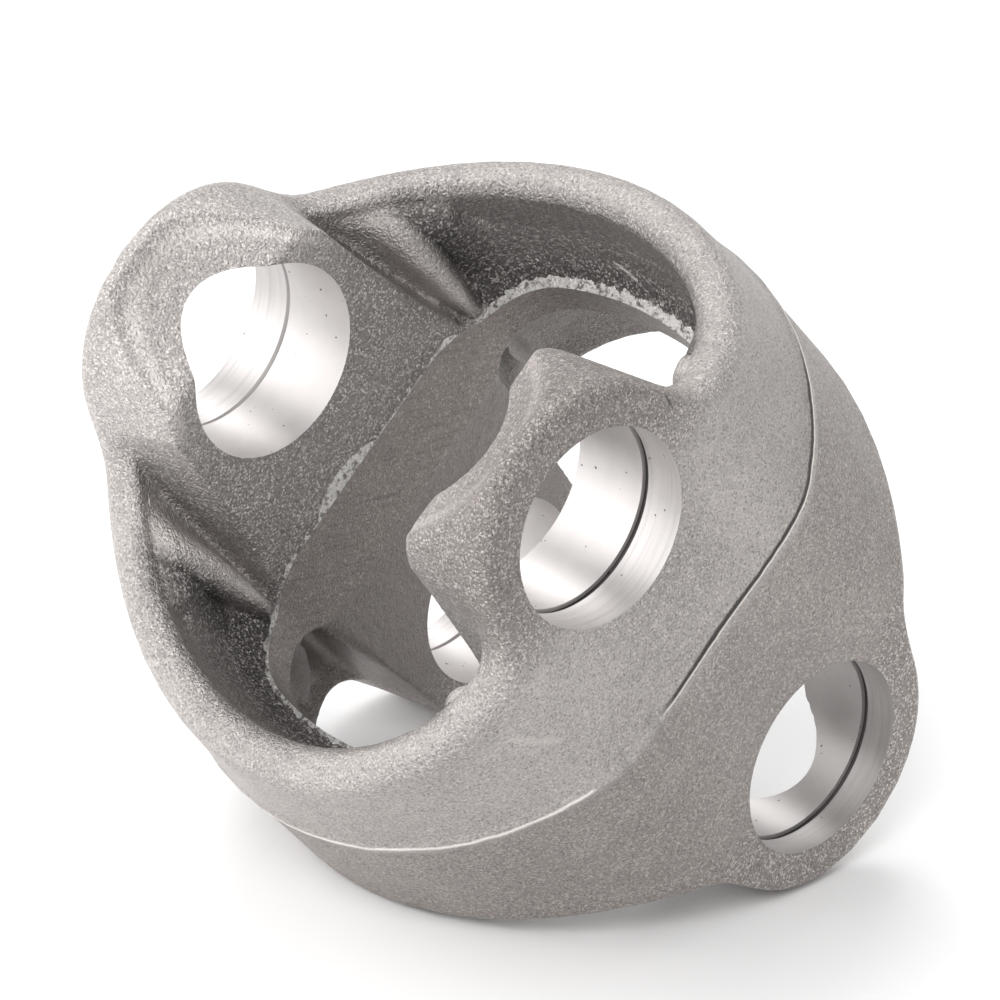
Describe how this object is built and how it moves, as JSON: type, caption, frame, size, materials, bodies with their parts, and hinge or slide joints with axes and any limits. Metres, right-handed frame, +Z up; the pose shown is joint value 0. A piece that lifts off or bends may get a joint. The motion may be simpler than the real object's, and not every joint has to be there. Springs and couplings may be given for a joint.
{
  "type": "double cardan centre yoke",
  "caption": "Forged centre yoke: a ring with a punched centre and two pairs of bored ears on parallel axes, for a wide-angle double cardan joint.",
  "frame": {"origin": "middle of the yoke's box as it lies, within a millimetre of midway between its two joint centres", "axes": "+X along both bore axes; +Z up as the yoke lies on a table, on the rim of one side lobe and the rounded ends of two ears; the shaft axis lies in the YZ plane"},
  "size_m": [0.112, 0.1233, 0.1171],
  "materials": {
    "forged_steel": "shot-blasted drop forging, matt and finely grained, with bright machined bores"
  },
  "bodies": {
    "root": {"centre_yoke": "forged_steel"}
  },
  "joints": []
}
